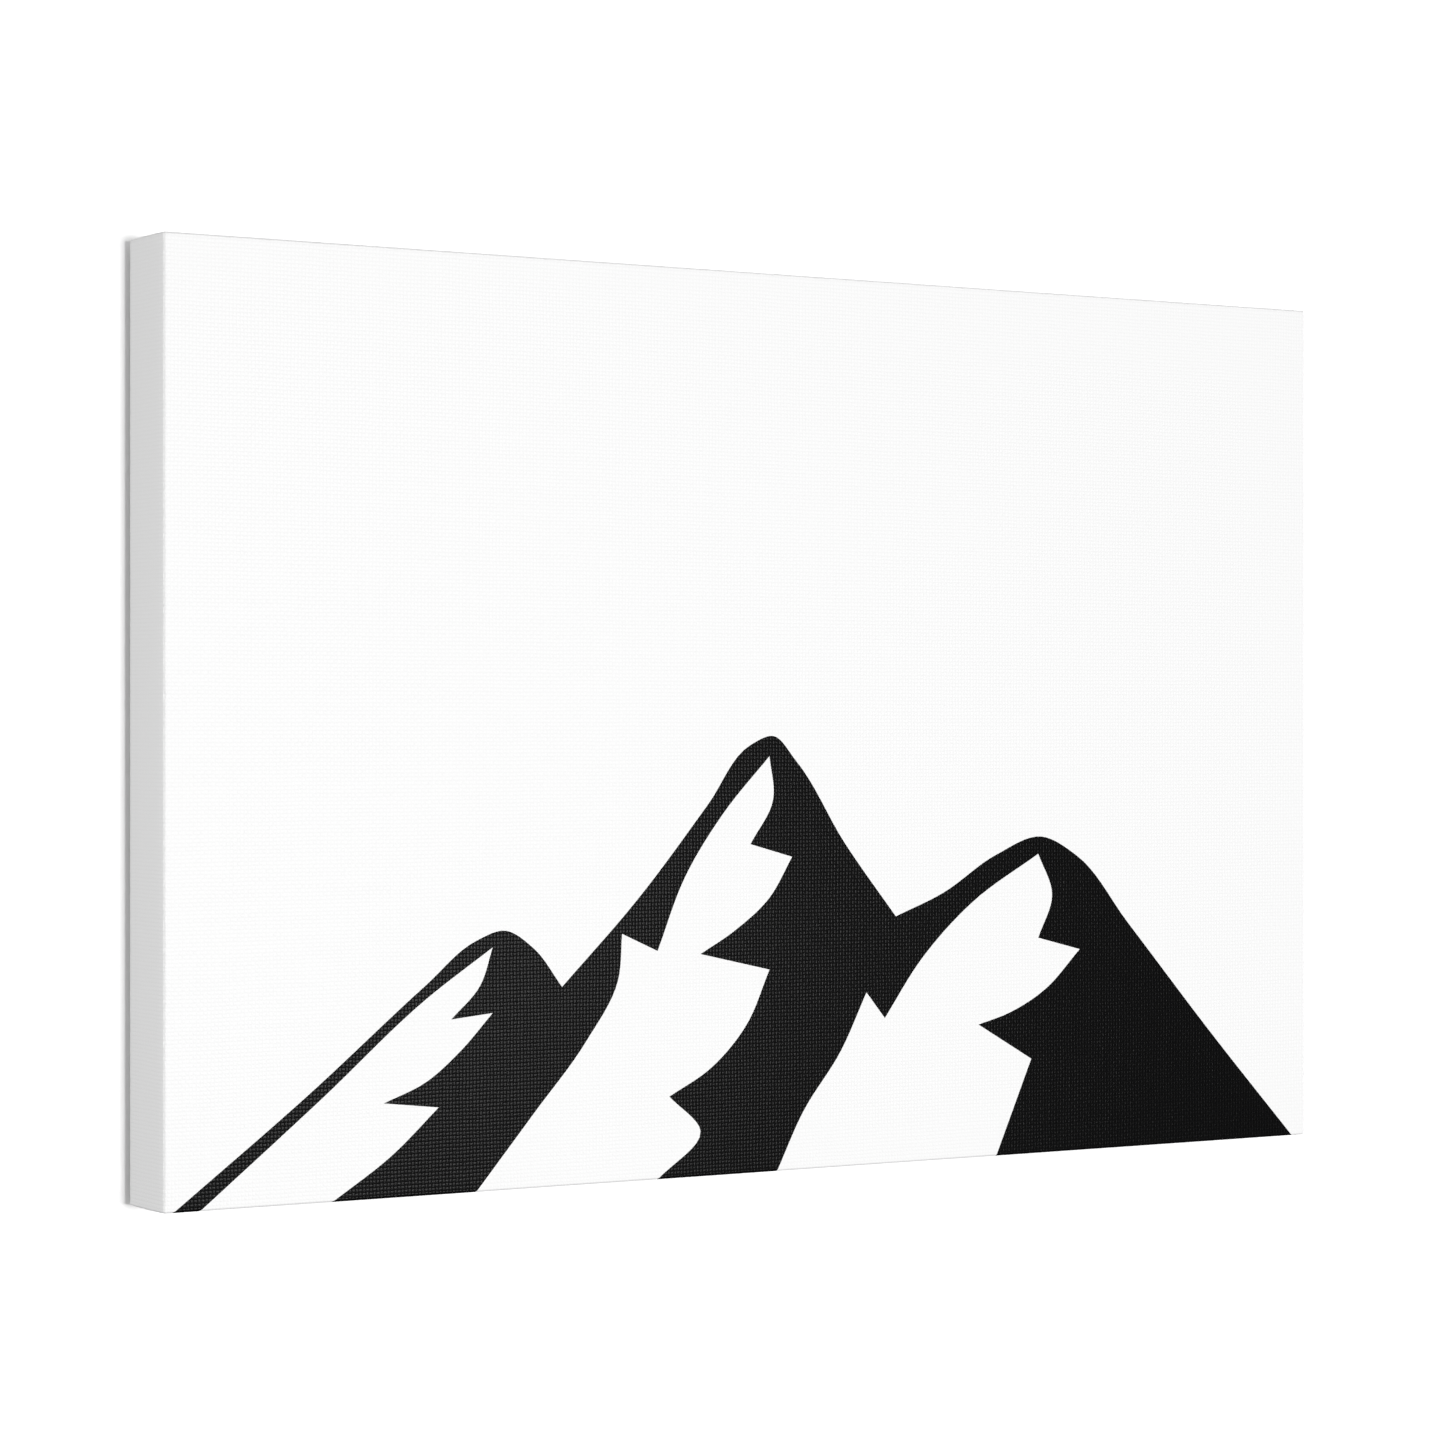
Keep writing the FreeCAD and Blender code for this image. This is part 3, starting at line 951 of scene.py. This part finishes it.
def one_sided_paper(name, colour, glow):
    """Matt paper, over-lit by its own glow. Its back is clear, so it never hides what it stands behind."""
    material = bpy.data.materials.new(name)
    material.use_nodes = True
    tree = material.node_tree
    tree.nodes.remove(tree.nodes["Principled BSDF"])
    matt = add_node(tree, "ShaderNodeBsdfDiffuse", {}, {"Color": (*colour, 1)})
    glowing = add_node(tree, "ShaderNodeEmission", {}, {"Color": (*colour, 1), "Strength": glow})
    paper = add_node(tree, "ShaderNodeAddShader", {}, {0: matt, 1: glowing})
    behind = add_node(tree, "ShaderNodeNewGeometry", {}, {}, "Backfacing")
    clear = add_node(tree, "ShaderNodeBsdfTransparent", {}, {})
    one_sided = add_node(tree, "ShaderNodeMixShader", {}, {0: behind, 1: paper, 2: clear})
    tree.links.new(one_sided.socket, tree.nodes["Material Output"].inputs["Surface"])
    return material


def sheet_of_paper(name, quads, material):
    """Flat sheets that only the camera sees, so they neither shade nor light the object."""
    mesh = bmesh.new()
    for corners in quads:
        mesh.faces.new([mesh.verts.new(corner) for corner in corners])
    data = bpy.data.meshes.new(name)
    mesh.to_mesh(data)
    mesh.free()
    data.materials.append(material)
    paper = bpy.data.objects.new(name, data)
    paper.visible_diffuse = False
    paper.visible_glossy = False
    paper.visible_transmission = False
    paper.visible_shadow = False
    bpy.context.scene.collection.objects.link(paper)
    return paper


def flag_quads():
    """A thin card round the back of the rim, which keeps the light on the cloth's back off the wall."""
    level = BACK + FLAG_GAP
    corners = [(LEFT, 0), (RIGHT, 0), (RIGHT, TOP), (LEFT, TOP)]
    centre = Vector((0, TOP / 2))
    rings = []
    for inset in (FLAG_INSET, FLAG_INSET + FLAG_WIDTH):
        turned = []
        for x, z in corners:
            away = Vector((x, z)) - centre
            inwards = Vector((math.copysign(inset, away.x), math.copysign(inset, away.y)))
            place = centre + away - inwards
            turned.append((place.x, level, place.y))
        rings.append(turned)
    outer, inner = rings
    return [[outer[n], inner[n], inner[(n + 1) % 4], outer[(n + 1) % 4]] for n in range(4)]


def soft_lamp(name, place, aim, size, watts):
    data = bpy.data.lights.new(name, "AREA")
    data.shape = "RECTANGLE"
    data.size, data.size_y = size
    data.energy = watts
    lamp = bpy.data.objects.new(name, data)
    lamp.location = place
    lamp.visible_camera = False
    lamp.rotation_euler = (Vector(aim) - Vector(place)).to_track_quat("-Z", "Y").to_euler()
    bpy.context.scene.collection.objects.link(lamp)


class CANVAS_OT_stage(Operator):
    """Sets up the wall, the floor, the lamps and the camera"""

    bl_idname = "canvas.stage"
    bl_label = "Set Up Stage"

    def execute(self, context):
        scene = context.scene
        colours = scene.canvas_colours
        scene.view_settings.view_transform = "Standard"
        behind = WALL + WALL_GAP
        square = ((-STAGE, -STAGE), (STAGE, -STAGE), (STAGE, STAGE), (-STAGE, STAGE))
        wall = [(x, behind, max(z, FLOOR)) for x, z in square]
        floor = [(x, y, FLOOR) for x, y in square]
        sheet_of_paper("wall", [wall], one_sided_paper("wall_paper", colours.paper, WALL_GLOW))
        sheet_of_paper("floor", [floor], one_sided_paper("floor_paper", colours.paper, FLOOR_GLOW))
        flag = sheet_of_paper("flag", flag_quads(), one_sided_paper("flag_card", (0, 0, 0), 0))
        flag.visible_camera = False
        flag.visible_diffuse = True
        scene.world = bpy.data.worlds.new("studio")
        scene.world.use_nodes = True
        tree = scene.world.node_tree
        sky = tree.nodes["Background"]
        sky.inputs["Color"].default_value = (1, 1, 1, 1)
        seen = add_node(tree, "ShaderNodeLightPath", {}, {}, "Is Camera Ray")
        tree.links.new((AMBIENT + seen * (1 - AMBIENT)).socket, sky.inputs["Strength"])
        middle = (0, 0, TOP / 2)
        soft_lamp("key_lamp", KEY_PLACE, middle, KEY_SIZE, KEY_WATTS)
        soft_lamp("sheen_lamp", SHEEN_PLACE, middle, SHEEN_SIZE, SHEEN_WATTS)
        soft_lamp("side_lamp", SIDE_PLACE, middle, SIDE_SIZE, SIDE_WATTS)
        soft_lamp("back_lamp", BACK_PLACE, middle, BACK_SIZE, BACK_WATTS)
        self.add_camera(scene)
        return {"FINISHED"}

    def add_camera(self, scene):
        data = bpy.data.cameras.new("camera")
        data.lens = LENS
        data.sensor_width = FILM_WIDTH
        data.clip_start = NEAREST_SEEN
        camera = bpy.data.objects.new("camera", data)
        sight = Vector((math.sin(VIEW_TURN), math.cos(VIEW_TURN), 0))
        camera.location = Vector((VIEW_AIM, FRONT, TOP / 2)) - sight * VIEW_DISTANCE
        camera.rotation_euler = sight.to_track_quat("-Z", "Y").to_euler()
        scene.collection.objects.link(camera)
        scene.camera = camera


class CANVAS_PT_tools(Panel):
    """Lists the canvas's sizes, colours and steps"""

    bl_idname = "CANVAS_PT_tools"
    bl_label = "Stretched Canvas"
    bl_space_type = "VIEW_3D"
    bl_region_type = "UI"
    bl_category = "Canvas"

    def draw(self, context):
        layout = self.layout
        for group in (context.scene.canvas_sizes, context.scene.canvas_colours):
            box = layout.box()
            for name in group.__annotations__:
                box.prop(group, name)
        for step in STEPS:
            layout.operator(step.bl_idname)


STEPS = (
    CANVAS_OT_cloth,
    CANVAS_OT_bars,
    CANVAS_OT_keys,
    CANVAS_OT_fixings,
    CANVAS_OT_bumpers,
    CANVAS_OT_stage,
)
CLASSES = (CanvasSizes, CanvasColours, *STEPS, CANVAS_PT_tools)


def register():
    for made in CLASSES:
        bpy.utils.register_class(made)
    bpy.types.Scene.canvas_sizes = PointerProperty(type=CanvasSizes)
    bpy.types.Scene.canvas_colours = PointerProperty(type=CanvasColours)


def unregister():
    del bpy.types.Scene.canvas_colours
    del bpy.types.Scene.canvas_sizes
    for made in reversed(CLASSES):
        bpy.utils.unregister_class(made)


def main():
    register()
    for step in STEPS:
        getattr(bpy.ops.canvas, step.bl_idname.split(".")[1])()


if __name__ == "__main__":
    main()
